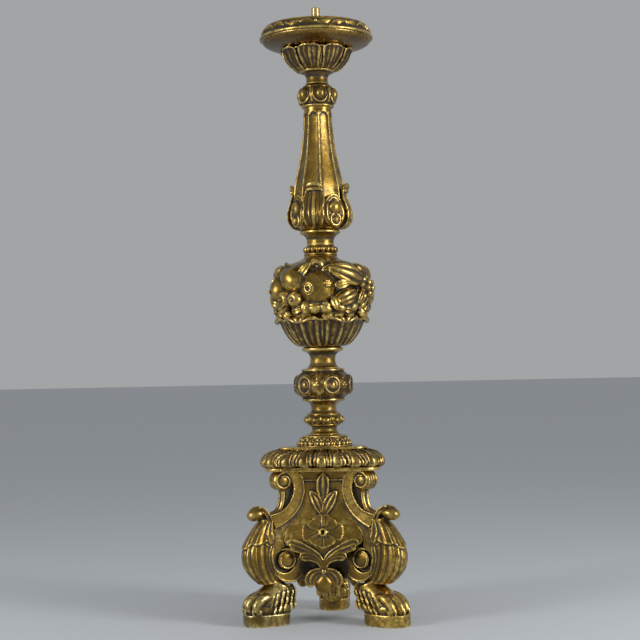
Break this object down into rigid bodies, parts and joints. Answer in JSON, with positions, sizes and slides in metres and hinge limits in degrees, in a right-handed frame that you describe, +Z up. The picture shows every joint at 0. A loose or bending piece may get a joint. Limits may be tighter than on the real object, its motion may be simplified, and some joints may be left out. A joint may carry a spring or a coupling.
{
  "type": "torchere candle stand",
  "caption": "Carved and gilded tripod candle stand with scroll base, lion-paw feet, turned stem with fruit basket and fluted shaft, and a round drip pan with a brass candle tube",
  "frame": {"origin": "on the floor under the stem's axis", "axes": "+Z up along the stem; one panel of the base faces -Y; +X to the right seen from that side"},
  "size_m": [0.2722, 0.2455, 1],
  "materials": {
    "gilt_wood": "worn gold leaf over red bole, toned dark in the hollows",
    "bare_wood": "bare glued softwood",
    "tube_brass": "aged brass"
  },
  "bodies": {
    "root": {"paw_foot_1": "gilt_wood", "paw_foot_2": "gilt_wood", "paw_foot_3": "gilt_wood", "foot_dowels": "bare_wood", "console_1": "gilt_wood", "console_2": "gilt_wood", "console_3": "gilt_wood", "base_panel_1": "gilt_wood", "base_panel_2": "gilt_wood", "base_panel_3": "gilt_wood", "glue_blocks": "bare_wood", "fillet_board": "gilt_wood", "gadroon_board": "gilt_wood", "cap_board": "gilt_wood", "bead_collar": "gilt_wood", "small_knop": "gilt_wood", "roundel_knop": "gilt_wood", "spool": "gilt_wood", "fruit_calyx": "gilt_wood", "fruit_basket": "gilt_wood", "bead_ring": "gilt_wood", "vase_neck": "gilt_wood", "fluted_shaft": "gilt_wood", "egg_knop": "gilt_wood", "leaf_cup": "gilt_wood", "drip_pan": "gilt_wood", "candle_tube": "tube_brass"}
  },
  "joints": []
}
